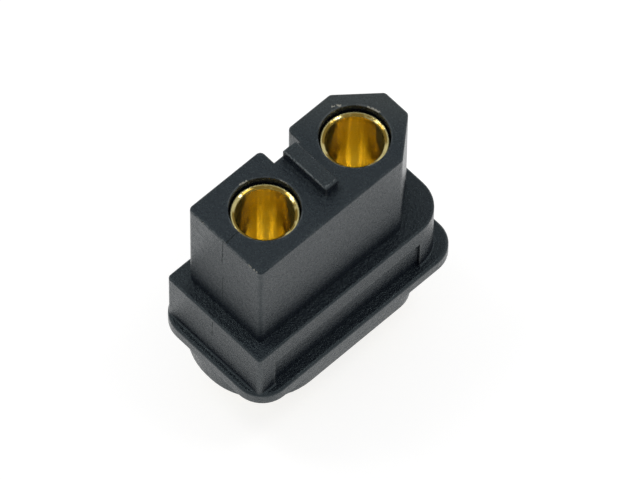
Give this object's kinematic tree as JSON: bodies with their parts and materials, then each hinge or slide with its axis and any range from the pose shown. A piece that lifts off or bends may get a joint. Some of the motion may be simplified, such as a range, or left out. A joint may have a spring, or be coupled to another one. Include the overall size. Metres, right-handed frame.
{
  "type": "battery lead connector",
  "caption": "Polarised battery lead connector: a keyed black plastic block on a stepped flange, with gold tube sockets in its mating face and solder cups at the rear.",
  "frame": {"origin": "middle of the flange's outline, level with the rims of the solder cups that the part stands on", "axes": "+Z out of the mating face, +X towards the chamfered end, +Y towards the side with the key groove"},
  "size_m": [0.0164, 0.0092, 0.0192],
  "materials": {
    "housing": "black moulded plastic with a fine satin texture",
    "contacts": "turned brass with gold plating"
  },
  "bodies": {
    "root": {"housing": "housing", "positive_contact": "contacts", "negative_contact": "contacts"}
  },
  "joints": []
}
